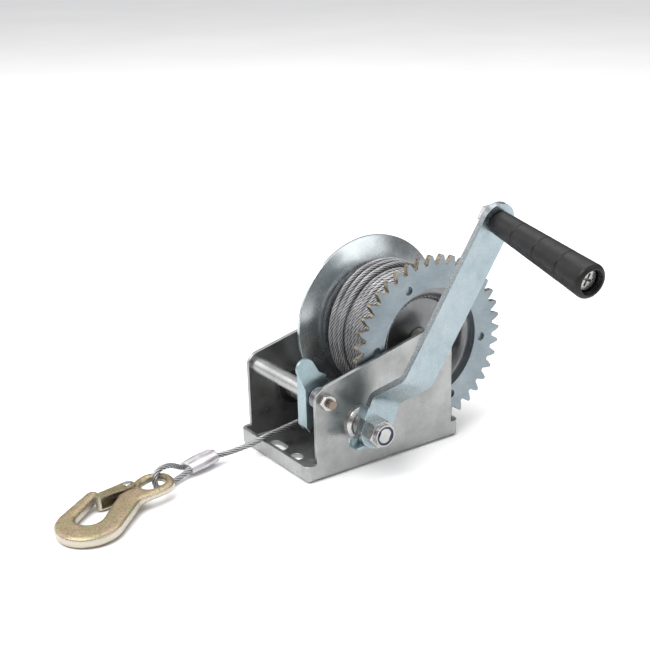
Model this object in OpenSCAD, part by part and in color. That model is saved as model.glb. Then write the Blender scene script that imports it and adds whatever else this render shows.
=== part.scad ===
// Hand-cranked boat trailer winch: pressed frame, geared drum, reversible pawl, cranked handle,
// wire rope with a ferrule and a forged eye hook.
// X is the drum axis (+X is the crank side), the rope leaves towards -Y, +Z is up.
// The origin is the middle of the frame's underside.

/* [Frame] */
// Length of the base pan along Y
base_l = 130; // [110:1:160]
// Outer width of the frame along X
frame_w = 86; // [78:1:110]
// Thickness of the frame sheet
sheet_t = 3; // [2:0.5:4]
// Height of the pan's front and rear lips
lip_h = 12; // [8:1:12]
// Height of the side plates at the front
side_h_front = 63.5; // [60:0.5:75]
// Height of the side plates at the rear
side_h_rear = 91; // [86:0.5:110]
// Setback of the side plates from the ends of the pan
side_setback = 8; // [5:1:12]
// Radius of the side plates' top corners
side_r = 10; // [4:1:12]
// Radius of the pan's upright corners
pan_r = 6; // [4:1:10]
// Outer radius of the pan's bottom folds
fold_r = 4; // [3.5:0.5:6]

/* [Base fixings] */
// Diameter of the two round bolt holes and width of the two slots
bolt_hole_d = 10; // [6:0.5:12]
// End-to-end length of the slots
slot_len = 17; // [13:1:22]
// Distance along Y between the front and rear fixings
fix_spacing = 101; // [80:1:104]
// X position of the round bolt holes
fix_hole_x = 7; // [4:1:20]
// X position of the slots
fix_slot_x = -16; // [-24:1:-12]

/* [Gears] */
// Gear module
gear_m = 3; // [2.9:0.02:3.1]
// Number of teeth on the drum gear
gear_n = 40; // [40:1:40]
// Number of teeth on the pinion
pinion_n = 10; // [10:1:10]
// Thickness of the drum gear
gear_t = 4.5; // [3:0.5:6]
// Diameter of the hole in the drum gear
gear_hole_d = 80; // [76:1:84]
// Height of the pinion axis above the underside
pinion_z = 34; // [33:0.5:40]
// Y position of the pinion axis
pinion_y = -22.5; // [-26:0.5:-20]
// Direction from the pinion axis to the drum axis, in degrees above +Y
mesh_angle = 31; // [31:0.5:33]
// Length of the pinion
pinion_len = 18; // [14:1:20]
// Diameter of the pinion shaft between the plates
shaft_d = 16; // [14:1:18]
// Diameter of the shaft journals
journal_d = 14; // [11:0.5:14]

/* [Drum] */
// Diameter of the far flange
flange_d = 124; // [110:1:126]
// Thickness of the flange sheet
flange_t = 2.5; // [1.5:0.5:3]
// Outer diameter of the hub tube
hub_d = 60; // [40:1:60]
// Outer diameter of the rope winding
winding_d = 91; // [80:1:94]
// Diameter of the drum axle bolt
axle_d = 12; // [10:0.5:12]
// How far the far flange flares outwards
flare = 7.5; // [4:0.5:9]

/* [Crank] */
// Distance from the pinion axis to the grip axis
crank_len = 153.5; // [120:0.5:220]
// Width of the crank bar
crank_w = 24; // [22:1:30]
// Thickness of the crank bar
crank_t = 4.5; // [4:0.5:6]
// Direction of the crank bar at rest, in degrees above +Y
crank_angle = 66.5; // [60:0.5:75]
// Sideways offset of the bar's bend
crank_offset = 24; // [16:1:30]
// Outward lean of the long end of the bar, in degrees
crank_lean = 11.5; // [6:0.5:14]
// Length of the grip
grip_len = 88; // [80:1:120]
// Diameter of the grip at the bar
grip_d_in = 15.5; // [15:0.5:24]
// Diameter of the grip at its free end
grip_d_out = 22; // [19:0.5:28]
// Diameter of the grip bolt's shank
grip_bolt_d = 8; // [6:0.5:8]

/* [Pawl] */
// Distance from the pinion axis to the pawl pivot
pawl_reach = 34.8; // [34.4:0.1:35.4]
// Direction from the pinion axis to the pawl pivot, in degrees above +Y
pawl_angle = 140.8; // [139:0.1:142]
// Width of the pawl over its cheeks
pawl_w = 10; // [9:0.5:12]
// Thickness of the pawl sheet
pawl_t = 2.5; // [2:0.5:3]
// Diameter of the tie bolt that the pawl turns on
tie_d = 6; // [5:0.5:6]
// Outer diameter of the rolled spacer tube on the tie bolt
sleeve_d = 11; // [10:0.5:12]

/* [Rope and hook] */
// Diameter of the wire rope
rope_d = 4; // [4:0.1:4]
// Thickness of the forged hook
hook_t = 7; // [6:0.5:7]
// Direction of the hook on the floor, in degrees from +X
hook_dir = -69; // [-69:1:-69]

/* [Hidden] */
$fn = 72;

fit = 0.05;          // radial clearance of a running fit
slack = 0.4;         // axial gap between parts that turn past each other
half_w = frame_w / 2;
inner_x = half_w - sheet_t;
side_y = base_l / 2 - side_setback;
fold_r_in = fold_r - sheet_t > 0.5 ? fold_r - sheet_t : 0.5;
pan_r_in = pan_r - sheet_t > 0.5 ? pan_r - sheet_t : 0.5;

// Gears
pressure_angle = 25;
addendum = 0.9 * gear_m;
dedendum = 1.2 * gear_m;
backlash = 0.4;
centre_gap = 0.25;   // extra centre distance, so that the flanks never bind
centre_dist = gear_m * (gear_n + pinion_n) / 2 + centre_gap;
drum_y = pinion_y + centre_dist * cos(mesh_angle);
drum_z = pinion_z + centre_dist * sin(mesh_angle);
gear_tip_r = gear_m * gear_n / 2 + addendum;
pinion_tip_r = gear_m * pinion_n / 2 + addendum;
gear_gap = 1.8;      // gap between the gear and the near side plate
gear_x1 = inner_x - gear_gap;
gear_x0 = gear_x1 - gear_t;
// a pinion tooth points at the pawl pivot, and the gear is turned to mesh with it
pinion_phase = pawl_angle;
gear_phase = 180 + mesh_angle + 180 / gear_n
    - (pawl_angle - mesh_angle - 3 * 360 / pinion_n) * pinion_n / gear_n;
rivet_n = 6;
rivet_d = 6;
rivet_r = gear_hole_d / 2 + 6;
rivet_phase = 54;
rivet_depth = 2;

// Drum
ring_x0 = gear_x0 - flange_t;
cup_depth = 12;
cup_x = ring_x0 - cup_depth + flange_t;
cup_r = gear_hole_d / 2 - 4;
cup_ring_r = rivet_r + 4;
hub_r = hub_d / 2;
flange_x = -24 - (frame_w - 86) / 2;
flange_r = flange_d / 2;
sleeve_bore_r = 8;   // outer radius of the drum bushes and of the axle spacers
bush_len = 14;
winding_r = winding_d / 2;
far_bush_x = flange_x - flange_t - 4;
near_bush_x = cup_x + 3;

// Shaft stack, from the near plate outwards
collar_t = 4;
collar_r = 11.5;
bush_r = 9;
spacer_x0 = half_w + collar_t + slack;
spacer_len = 7;
spacer_r = 8.5;
lock_x = spacer_x0 + spacer_len;
lock_t = 3;
arm_x = lock_x + lock_t;
nut_x = arm_x + crank_t;
nut_af = 17;
nut_hex_h = 7;
nut_h = 10;
nut_collar_r = 7.4;
nut_rim = 0.9;
thread_r = 5;
square_r = 6;
flat_half = 4.2;
shaft_end = nut_x + nut_h - 0.3;
pinion_x1 = inner_x - 0.7;
pinion_x0 = pinion_x1 - pinion_len;
far_flange_t = 3.5;

// Pawl: pawl_line points from its pivot to the pinion axis
pivot_y = pinion_y + pawl_reach * cos(pawl_angle);
pivot_z = pinion_z + pawl_reach * sin(pawl_angle);
pawl_line = pawl_angle - 180;
pawl_bite = 2.9;
horn_r = pawl_reach - pinion_tip_r + pawl_bite;
horn_clear = 0.95;
horn_angle = acos((pawl_reach * pawl_reach + horn_r * horn_r
    - pow(pinion_tip_r + horn_clear, 2)) / (2 * pawl_reach * horn_r)) + 2.3;
pawl_x1 = inner_x - 6;
pawl_x0 = pawl_x1 - pawl_w;
pawl_boss_r = 8;
web_y = -9;
spring_wire = 1.2;
spring_r = 6.8;
tie_nut_af = 10;
tie_nut_h = 5.5;

// Crank bar, in a frame with its length along Z and its outer side towards +X
bend_1 = 22;
bend_2 = 41;
bend_r = 9;
arm_mid = arm_x + crank_t / 2;
arm_top_x = arm_mid + crank_offset + (crank_len - bend_2) * tan(crank_lean);
grip_gap = 0.5;
grip_seat = crank_t / 2 + grip_gap;
grip_recess = 10;
grip_recess_d = 15;
grip_head_d = 13;
grip_head_h = 5;
grip_nut_af = 13;
groove_n = 3;
groove_w = 1.2;
groove_d = 0.6;

// Hook, in a frame with its length along X and its eye at the origin
hook_eye = [-3.6, -152.6];
hook_lift = 4.3;
hook_tilt = 3.05;
hook_back = [54.6, -2.5, 21.2];
hook_neck = [20, -1, 7.4];
hook_head = [-1, 0, 13];
head_z = 2;          // the eye end is this much thinner, on its underside
hook_tip = [29.4, -25, 4.1];
throat_in = [51, -6, 9];
throat_out = [27.5, -14.5, 7.3];
eye_a = [-2.5, -0.4, 6.8];
eye_b = [1.5, -0.4, 6.8];
latch_pin = [11.5, -11];
lug_r = 3;
lug_t = 4;
spring_seat_r = 3.6;
rivet_pin_d = 3;
latch_t = 1.1;
latch_gap = 0.35;
latch_r = 4.4;
latch_nose = [30.4, -17.4, 3];
latch_web = 1.1;

// Route of the free rope: off the drum, over the front lip, through the ferrule's right barrel,
// under the hook's eye, up through it, and back over it into the left barrel
ROUTE = [
    [-20, 41, 23.2], [-18, 10, 20.6], [-15.5, -26, 17.5], [-13, -56, 14.9], [-12.4, -64, 14.2],
    [-13, -67, 13.2], [-15.4, -74, 10.4], [-17.6, -80, 8.6], [-19.4, -86, 7.3], [-20.8, -91, 6.6],
    [-21.6, -96.2, 6.2], [-20.3, -102, 5.9], [-18.9, -107.9, 5.6], [-17.5, -114, 5.3],
    [-16.2, -119.6, 4.9], [-14.6, -125, 4], [-12.8, -131, 3], [-11, -137, 2.3], [-9.4, -142, 2.1],
    [-8.2, -146, 2.8], [-7.4, -148.8, 5.2], [-7.6, -149.6, 9], [-8.8, -148.3, 12.8], [-10.6, -144.6, 14.8],
    [-12.6, -139.8, 14.8], [-15, -134, 13], [-18, -128.4, 9.4], [-21.1, -124, 6.2],
    [-22.8, -121, 4.9], [-25.5, -109.4, 5.6], [-28.6, -95.4, 6.3]
];
ferrule_mid = [-22.2, -108.6, 5.6];
ferrule_turn = 13;
ferrule_pitch = 3;   // it rises towards the winch
ferrule_len = 24;
barrel_gap = 6.7;
ferrule_wall = 2;

// ---------- shared shapes ----------

// Turn a shape drawn along +Z so that it runs along +X from x, at (y, z)
module along_x(x, y, z) {
    translate([x, y, z]) rotate([0, 90, 0]) rotate([0, 0, 90]) children();
}

// Extrude a side-view outline, drawn in (Y, Z), from x0 to x1
module side_cut(x0, x1) {
    translate([x0, 0, 0]) rotate([90, 0, 90]) linear_extrude(x1 - x0) children();
}

// A convex outline with a rounding radius for each corner
module rounded(pts, rads) {
    n = len(pts);
    tangents = [
        for (i = [0 : n - 1])
            let (
                p = pts[i], a = unit(pts[(i + n - 1) % n] - p), b = unit(pts[(i + 1) % n] - p),
                run = rads[i] / tan(acos(a * b) / 2)
            )
            each [p + a * run, p + b * run]
    ];
    polygon(tangents);
    for (i = [0 : n - 1])
        if (rads[i] > 0)
            let (
                p = pts[i], a = unit(pts[(i + n - 1) % n] - p), b = unit(pts[(i + 1) % n] - p),
                c = p + unit(a + b) * rads[i] / sin(acos(a * b) / 2)
            )
            translate(c) circle(rads[i]);
}

function unit(v) = v / norm(v);

// Two circles [x, y, r] joined by straight sides, which run a hair inside the outer tangents
module link(a, b) {
    inset = 0.01;
    d = [b[0] - a[0], b[1] - a[1]];
    turn = atan2(d[1], d[0]);
    open = acos((a[2] - b[2]) / norm(d));
    p = [for (s = [1, -1]) [cos(turn + s * open), sin(turn + s * open)]];
    polygon([
        [a[0], a[1]] + (a[2] - inset) * p[0], [b[0], b[1]] + (b[2] - inset) * p[0],
        [b[0], b[1]] + (b[2] - inset) * p[1], [a[0], a[1]] + (a[2] - inset) * p[1]
    ]);
    translate([a[0], a[1]]) circle(a[2]);
    translate([b[0], b[1]]) circle(b[2]);
}

module slot_2d(length, width) {
    link([(width - length) / 2, 0, width / 2], [(length - width) / 2, 0, width / 2]);
}

module tube(r_out, r_in, h) {
    difference() {
        cylinder(r = r_out, h = h);
        translate([0, 0, -1]) cylinder(r = r_in, h = h + 2);
    }
}

// Hexagon prism with chamfered corners on its far face
module hex(af, h) {
    intersection() {
        cylinder(r = af / 2 / cos(30), h = h, $fn = 6);
        union() {
            cylinder(r = af / 2 / cos(30) + 0.1, h = h - 1);
            translate([0, 0, h - 1]) cylinder(r1 = af / 2 / cos(30) + 0.1, r2 = af / 2 - 0.2, h = 1);
        }
    }
}

// Involute tooth: half of its angle at radius r
function inv(a) = tan(a) * 180 / PI - a;
function half_tooth(r, n) =
    let (rp = gear_m * n / 2, rb = rp * cos(pressure_angle), a = r > rb ? acos(rb / r) : 0)
    90 / n - backlash / 2 / rp * 180 / PI + inv(pressure_angle) - inv(a);
function tooth_radii(n) =
    let (
        rp = gear_m * n / 2, rb = rp * cos(pressure_angle), rf = rp - dedendum,
        r0 = rb > rf ? rb : rf, steps = 4
    )
    concat([rf], [for (k = [rb > rf ? 0 : 1 : steps]) r0 + (rp + addendum - r0) * k / steps]);

module gear_2d(n, phase) {
    radii = tooth_radii(n);
    last = len(radii) - 1;
    polygon([
        for (i = [0 : n - 1])
            let (mid = phase + 360 * i / n)
            each concat(
                [for (r = radii) r * [cos(mid - half_tooth(r, n)), sin(mid - half_tooth(r, n))]],
                [for (k = [last : -1 : 0]) radii[k] * [
                    cos(mid + half_tooth(radii[k], n)), sin(mid + half_tooth(radii[k], n))]]
            )
    ]);
}

// ---------- frame and what is fixed to it ----------

module pan_box(w, l, r, fold, z0) {
    top = side_h_rear + 1;
    intersection() {
        translate([0, 0, z0]) linear_extrude(top - z0)
            rounded([[-w, -l], [w, -l], [w, l], [-w, l]] / 2, [r, r, r, r]);
        side_cut(-w / 2 - 1, w / 2 + 1)
            rounded([[-l / 2, z0], [l / 2, z0], [l / 2, top], [-l / 2, top]], [fold, fold, 0, 0]);
        translate([0, l / 2 + 1, 0]) rotate([90, 0, 0]) linear_extrude(l + 2)
            rounded([[-w / 2, z0], [w / 2, z0], [w / 2, top], [-w / 2, top]], [fold, fold, 0, 0]);
    }
}

module frame() {
    color("#c9cbca") difference() {
        intersection() {
            pan_box(frame_w, base_l, pan_r, fold_r, 0);
            union() {
                translate([-half_w, -base_l / 2, 0]) cube([frame_w, base_l, lip_h]);
                side_cut(-half_w - 1, half_w + 1) rounded(
                    [[-side_y, 1], [side_y, 1], [side_y, side_h_rear], [-side_y, side_h_front]],
                    [0, 0, side_r, side_r]
                );
            }
        }
        pan_box(frame_w - 2 * sheet_t, base_l - 2 * sheet_t, pan_r_in, fold_r_in, sheet_t);
        for (s = [-1, 1]) {
            translate([fix_hole_x, s * fix_spacing / 2, -1]) cylinder(d = bolt_hole_d, h = sheet_t + 2);
            translate([fix_slot_x, s * fix_spacing / 2, -1])
                linear_extrude(sheet_t + 2) slot_2d(slot_len, bolt_hole_d);
        }
        along_x(-half_w - 1, pivot_y, pivot_z) cylinder(r = tie_d / 2 + fit, h = frame_w + 2);
        along_x(-half_w - 1, drum_y, drum_z) cylinder(r = axle_d / 2 + fit, h = frame_w + 2);
        along_x(-half_w - 1, pinion_y, pinion_z) cylinder(r = bush_r, h = frame_w + 2);
    }
}

module tie_bolt() {
    color("#b9bab8") {
        along_x(-half_w, pivot_y, pivot_z) mirror([0, 0, 1]) hex(tie_nut_af, 4);
        along_x(-half_w, pivot_y, pivot_z) cylinder(d = tie_d, h = frame_w + tie_nut_h + 3.5);
    }
}

module tie_nut() {
    color("#b9bab8") along_x(half_w, pivot_y, pivot_z) difference() {
        hex(tie_nut_af, tie_nut_h);
        translate([0, 0, -1]) cylinder(r = tie_d / 2, h = tie_nut_h + 2);
    }
}

// Rolled-sheet tube with its open seam, which steps sideways in the middle
module tie_sleeve() {
    length = pawl_x0 - slack + inner_x;
    seam = 0.5;
    step = 1.6;
    color("#d2d2d0") along_x(-inner_x, pivot_y, pivot_z) rotate([0, 0, 205]) difference() {
        tube(sleeve_d / 2, tie_d / 2 + 0.3, length);
        translate([2, -seam / 2, -1]) cube([sleeve_d, seam, length / 2 + 1]);
        translate([2, step - seam / 2, length / 2 - 1]) cube([sleeve_d, seam, length]);
        translate([2, -seam / 2, length / 2 - 1]) cube([sleeve_d, step + seam, seam * 2]);
    }
}

module pawl_spacer() {
    color("#a9abab") along_x(pawl_x1 + slack / 2, pivot_y, pivot_z)
        tube(4.5, tie_d / 2 + fit, inner_x - pawl_x1 - slack / 2);
}

// Three coils round the spacer and one leg that lies against the near plate
module pawl_spring() {
    color("#8f9496") {
        for (k = [0 : 2])
            along_x(pawl_x1 + 1.3 + k * 1.6, pivot_y, pivot_z)
                rotate_extrude() translate([spring_r, 0]) circle(d = spring_wire, $fn = 24);
        translate([pawl_x1 + 4.5, pivot_y + spring_r, pivot_z - 10])
            cylinder(d = spring_wire, h = 10, $fn = 24);
    }
}

module drum_axle() {
    head_h = 7.5;
    color("#b4b6b5") {
        along_x(-half_w, drum_y, drum_z) mirror([0, 0, 1]) hex(19, head_h);
        along_x(-half_w, drum_y, drum_z) cylinder(d = axle_d, h = frame_w + 8);
    }
}

module drum_axle_nut() {
    color("#b4b6b5") along_x(half_w, drum_y, drum_z) difference() {
        hex(18, 6.5);
        translate([0, 0, -1]) cylinder(d = axle_d, h = 10);
    }
}

module axle_spacer_far() {
    color("#9fa3a3") along_x(-inner_x, drum_y, drum_z)
        tube(sleeve_bore_r, axle_d / 2 + fit, far_bush_x - slack + inner_x);
}

module axle_spacer_near() {
    start = near_bush_x + slack;
    color("#9fa3a3") along_x(start, drum_y, drum_z)
        tube(sleeve_bore_r, axle_d / 2 + fit, inner_x - start);
}

module pinion_bush_far() {
    color("#2a2827") along_x(-half_w - 0.5, pinion_y, pinion_z) difference() {
        union() {
            cylinder(r = bush_r, h = sheet_t + 0.5);
            translate([0, 0, sheet_t + 0.5]) cylinder(r = 12.5, h = far_flange_t);
        }
        translate([0, 0, -1]) cylinder(r = journal_d / 2 + fit, h = 20);
    }
}

module pinion_bush_near() {
    color("#d9dad8") along_x(inner_x, pinion_y, pinion_z) difference() {
        union() {
            cylinder(r = bush_r, h = sheet_t);
            translate([0, 0, sheet_t]) cylinder(r = collar_r, h = collar_t - 2);
            translate([0, 0, sheet_t + collar_t - 2]) cylinder(r1 = collar_r, r2 = collar_r - 2, h = 2);
        }
        translate([0, 0, -1]) cylinder(r = journal_d / 2 + fit, h = 20);
    }
}

// ---------- drum ----------

// A ring turned about the drum axis from an outline in (radius, x)
module drum_turned() {
    along_x(0, drum_y, drum_z) rotate_extrude() children();
}

// Rope-side face of the far flange at radius r
function dish_x(r) = flange_x - (r > hub_r ? flare * pow((r - hub_r) / (flange_r - hub_r), 2) : 0);

module drum_hub() {
    color("#aeb1b1") drum_turned() translate([hub_r - 2.5, flange_x]) square([2.5, cup_x - flange_x]);
}

module drum_flange_far() {
    steps = 10;
    radii = [for (k = [0 : steps]) hub_r + (flange_r - hub_r) * k / steps];
    color("#c3c8c9") drum_turned() polygon(concat(
        [[sleeve_bore_r, flange_x]], [for (r = radii) [r, dish_x(r)]],
        [for (k = [steps : -1 : 0]) [radii[k], dish_x(radii[k]) - flange_t]],
        [[sleeve_bore_r, flange_x - flange_t]]
    ));
}

// Cup riveted behind the gear: flat ring, rounded lip, sloping wall, flat middle
module drum_flange_near() {
    wall_r = cup_r - 5;
    color("#b9bfc1") difference() {
        drum_turned() polygon([
            [sleeve_bore_r, cup_x], [wall_r, cup_x], [cup_r - 1.5, ring_x0 - 1.5],
            [cup_r + 0.5, ring_x0], [cup_ring_r, ring_x0], [cup_ring_r, gear_x0],
            [cup_r + 1.5, gear_x0], [cup_r - 1, gear_x0 - 1], [cup_r - 2.5, gear_x0 - 3],
            [wall_r - 2, cup_x + flange_t], [sleeve_bore_r, cup_x + flange_t]
        ]);
        rivet_places() translate([0, 0, ring_x0 - 1]) cylinder(d = rivet_d, h = flange_t + 2);
    }
}

module rivet_places() {
    along_x(0, drum_y, drum_z)
        for (k = [0 : rivet_n - 1])
            rotate([0, 0, rivet_phase + k * 360 / rivet_n]) translate([rivet_r, 0, 0]) children();
}

// Ring gear with six pressed bosses, sunk on its outer face and standing out behind
module drum_gear() {
    color("#b7bec3") difference() {
        union() {
            translate([0, drum_y, drum_z]) side_cut(gear_x0, gear_x1) difference() {
                gear_2d(gear_n, gear_phase);
                circle(d = gear_hole_d);
            }
            rivet_places() translate([0, 0, ring_x0]) cylinder(d = rivet_d, h = flange_t + 1);
        }
        rivet_places() translate([0, 0, gear_x1 - rivet_depth]) cylinder(d = rivet_d, h = rivet_depth + 1);
    }
}

module drum_bushes() {
    color("#8d7a55") {
        along_x(far_bush_x, drum_y, drum_z) tube(sleeve_bore_r, axle_d / 2 + fit, bush_len);
        along_x(near_bush_x - bush_len, drum_y, drum_z)
            tube(sleeve_bore_r, axle_d / 2 + fit, bush_len);
    }
}

// Saddle and screw that hold the rope's inner end on the outer face of the far flange
module rope_clamp() {
    color("#a7aaaa") clamp_place() difference() {
        translate([-6, -9, 0]) cube([12, 18, 4]);
        translate([0, 0, -1]) cylinder(d = 5, h = 6);
    }
}

module rope_clamp_screw() {
    color("#8e9192") clamp_place() {
        translate([0, 0, 4]) cylinder(r = 4.2, h = 2.4);
        cylinder(d = 5, h = 5);
    }
}

module clamp_place() {
    r = hub_r + 12;
    along_x(0, drum_y, drum_z) rotate([0, 0, 75]) translate([r, 0, dish_x(r + 9) - flange_t])
        mirror([0, 0, 1]) children();
}

// Outer shape of all the turns on the hub
module rope_winding() {
    steps = 6;
    radii = [for (k = [0 : steps]) hub_r + (winding_r - 2 - hub_r) * k / steps];
    color("#8d8a89") drum_turned() polygon(concat(
        [for (r = radii) [r, dish_x(r) + 0.1]],
        [
            [winding_r, flange_x + 4], [winding_r, ring_x0 - 4], [winding_r - 2, ring_x0],
            [cup_r + 0.5, ring_x0], [cup_r - 1.5, ring_x0 - 1.5], [cup_r - 5, cup_x], [hub_r, cup_x]
        ]
    ));
}

// ---------- pinion and crank ----------

module pinion_shaft() {
    far = -half_w - 4;
    color("#b2b5b6") {
        along_x(far, pinion_y, pinion_z)
            cylinder(d = journal_d, h = -inner_x + far_flange_t + slack - far);
        along_x(-inner_x + far_flange_t + slack, pinion_y, pinion_z)
            cylinder(d = shaft_d, h = 2 * inner_x - far_flange_t - 2 * slack);
        along_x(inner_x - slack, pinion_y, pinion_z)
            cylinder(d = journal_d, h = lock_x - inner_x + slack);
        crank_turn() {
            flatted(lock_x, nut_x, square_r);
            flatted(nut_x, shaft_end, thread_r);
        }
    }
}

// Round end of the shaft with two flats along the crank bar
module flatted(x0, x1, r) {
    translate([x0, 0, 0]) intersection() {
        rotate([0, 90, 0]) cylinder(r = r, h = x1 - x0);
        translate([0, -flat_half, -r]) cube([x1 - x0, 2 * flat_half, 2 * r]);
    }
}

// Stand the crank's own frame, length along +Z, on the pinion axis at its rest angle
module crank_turn() {
    translate([0, pinion_y, pinion_z]) rotate([crank_angle - 90, 0, 0]) children();
}

module pinion_gear() {
    color("#a9a79f") translate([0, pinion_y, pinion_z]) side_cut(pinion_x0, pinion_x1) difference() {
        gear_2d(pinion_n, pinion_phase);
        circle(d = shaft_d);
    }
}

module shaft_ring() {
    color("#54565a") along_x(-half_w - 2.4, pinion_y, pinion_z) tube(9.5, journal_d / 2, 1.4);
}

module crank_spacer() {
    color("#c4c6c5") along_x(spacer_x0, pinion_y, pinion_z)
        tube(spacer_r, journal_d / 2, spacer_len);
}

// Flat plate behind the bar, with one tab over the bar's rear edge and one under its end
module crank_lock_plate() {
    plate_h = 29;
    tab_t = 1.6;
    tab_x = crank_t + lock_t + 1;
    color("#8fa0a8") crank_turn() difference() {
        union() {
            translate([lock_x, -10.4, -13]) cube([lock_t, 20.8, plate_h]);
            translate([lock_x, -crank_w / 2 - tab_t, 6]) cube([tab_x, tab_t, 8.5]);
            translate([lock_x, -crank_w / 2 - tab_t, 6]) cube([lock_t, 6, 8.5]);
            translate([lock_x, -11.5, -15]) rotate([28, 0, 0]) cube([tab_x, 6, tab_t]);
            translate([lock_x, -11.5, -15]) rotate([28, 0, 0]) cube([lock_t, 6, 6]);
        }
        translate([lock_x - 1, 0, 0]) rotate([0, 90, 0]) cylinder(r = square_r + fit, h = lock_t + 2);
    }
}

// Points of a path with rounded corners, each with its direction: [x, z, dx, dz]
function arm_path() =
    let (
        v = [
            [arm_mid, -crank_w], [arm_mid, bend_1], [arm_mid + crank_offset, bend_2],
            [arm_top_x + crank_w * tan(crank_lean), crank_len + crank_w]
        ],
        steps = 6
    )
    concat(
        [[v[0][0], v[0][1], 0, 1]],
        [
            for (i = [1, 2])
                let (
                    a = unit(v[i] - v[i - 1]), b = unit(v[i + 1] - v[i]), side = sign(a[0] * b[1] - a[1] * b[0]),
                    turn = acos(a * b), t = bend_r * tan(turn / 2), start = v[i] - a * t,
                    normal = side * [-a[1], a[0]], centre = start + normal * bend_r
                )
                for (k = [0 : steps])
                    let (q = side * turn * k / steps, c = cos(q), s = sin(q), n = -normal)
                    [
                        centre[0] + bend_r * (n[0] * c - n[1] * s), centre[1] + bend_r * (n[0] * s + n[1] * c),
                        a[0] * c - a[1] * s, a[0] * s + a[1] * c
                    ]
        ],
        [let (d = unit(v[3] - v[2])) [v[3][0], v[3][1], d[0], d[1]]]
    );

// Bent flat bar with round ends, a flatted hole at the hub and a round one at the grip
module crank_arm() {
    path = arm_path();
    h = crank_t / 2;
    color("#bcc9cf") crank_turn() difference() {
        intersection() {
            translate([0, crank_w / 2, 0]) rotate([90, 0, 0]) linear_extrude(crank_w) polygon(concat(
                [for (p = path) [p[0] + h * p[3], p[1] - h * p[2]]],
                [for (k = [len(path) - 1 : -1 : 0]) let (p = path[k]) [p[0] - h * p[3], p[1] + h * p[2]]]
            ));
            union() {
                rotate([0, 90, 0]) cylinder(r = crank_w / 2, h = 300);
                translate([0, -crank_w / 2, 0]) cube([300, crank_w, crank_len - crank_w]);
                grip_place(-40) cylinder(r = crank_w / 2, h = 80);
                grip_place(-40) translate([0, -crank_w / 2, 0]) cube([crank_w * 2, crank_w, 80]);
            }
        }
        intersection() {
            translate([arm_x - 1, 0, 0]) rotate([0, 90, 0]) cylinder(r = square_r + fit, h = crank_t + 2);
            translate([arm_x - 1, -flat_half - fit, -9]) cube([crank_t + 2, 2 * (flat_half + fit), 18]);
        }
        grip_place(-10) cylinder(r = grip_bolt_d / 2, h = 20);
    }
}

// Frame of the grip: origin on the bar's mid-plane plus offset, +Z outwards along the grip
module grip_place(offset) {
    translate([arm_top_x, 0, crank_len]) rotate([0, 90 + crank_lean, 0]) translate([0, 0, offset]) children();
}

module crank_nut() {
    color("#c9ced0") along_x(nut_x, pinion_y, pinion_z) rotate([0, 0, 8]) difference() {
        union() {
            hex(nut_af, nut_hex_h);
            cylinder(r = nut_collar_r, h = nut_h);
        }
        translate([0, 0, -1]) cylinder(r = thread_r, h = nut_h + 2);
        translate([0, 0, nut_hex_h]) cylinder(r = nut_collar_r - nut_rim, h = nut_h);
    }
}

module crank_nut_insert() {
    gap = 0.03;
    color("#1d2433") along_x(nut_x + nut_hex_h + gap, pinion_y, pinion_z)
        tube(nut_collar_r - nut_rim - gap, thread_r + gap, nut_h - nut_hex_h - 0.5);
}

module grip_bolt() {
    color("#b5b3ad") crank_turn() {
        grip_place(grip_seat + grip_len - grip_recess + slack) difference() {
            cylinder(d = grip_head_d, h = grip_head_h);
            for (turn = [0, 90])
                rotate([0, 0, turn]) translate([-4, -0.8, grip_head_h - 2.2]) cube([8, 1.6, 4]);
        }
        grip_place(-crank_t / 2 - 10)
            cylinder(d = grip_bolt_d, h = crank_t + 10 + grip_gap + grip_len - grip_recess + slack);
    }
}

module grip_washer() {
    color("#b5b3ad") crank_turn() grip_place(-crank_t / 2 - 1.6) tube(8, grip_bolt_d / 2, 1.6);
}

module grip_nut() {
    color("#b5b3ad") crank_turn() grip_place(-crank_t / 2 - 8.1) difference() {
        hex(grip_nut_af, 6.5);
        translate([0, 0, -1]) cylinder(d = grip_bolt_d, h = 10);
    }
}

// Tapered plastic grip with three grooves, a rounded end and a deep counterbore
module grip() {
    r0 = grip_d_in / 2;
    r1 = grip_d_out / 2;
    seg = grip_len / (groove_n + 1);
    rim = 3;
    color("#2c2a2c") crank_turn() grip_place(grip_seat) difference() {
        rotate_extrude() polygon(concat(
            [[grip_bolt_d / 2 + fit, 0], [r0 - 0.8, 0], [r0, 0.8]],
            [
                for (k = [1 : groove_n])
                    let (z = k * seg, r = r0 + (r1 - r0) * z / grip_len)
                    each [[r, z - groove_w / 2], [r - groove_d, z], [r, z + groove_w / 2]]
            ],
            [for (a = [0 : 15 : 75]) [r1 - rim + rim * cos(a), grip_len - rim + rim * sin(a)]],
            [
                [r1 - rim, grip_len], [grip_recess_d / 2, grip_len - 0.6],
                [grip_recess_d / 2, grip_len - grip_recess],
                [grip_bolt_d / 2 + fit, grip_len - grip_recess]
            ]
        ));
    }
}

// ---------- pawl ----------

function polar(r, a) = r * [cos(a), sin(a)];

// Cheek outline about the pivot, with two horns either side of the line to the pinion
module cheek_2d() {
    circle(pawl_boss_r);
    for (s = [-1, 1])
        polygon([
            polar(7, pawl_line - s * 40), polar(7.6, pawl_line + s * 6),
            polar(horn_r, pawl_line + s * (horn_angle - 2.3)),
            polar(horn_r, pawl_line + s * (horn_angle + 2.3)), polar(7.9, pawl_line + s * 80)
        ]);
    polygon([[web_y, 14], [web_y, -20], [web_y + 3, -24], [1, -7], [7, 4], [2, 13]]);
}

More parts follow.
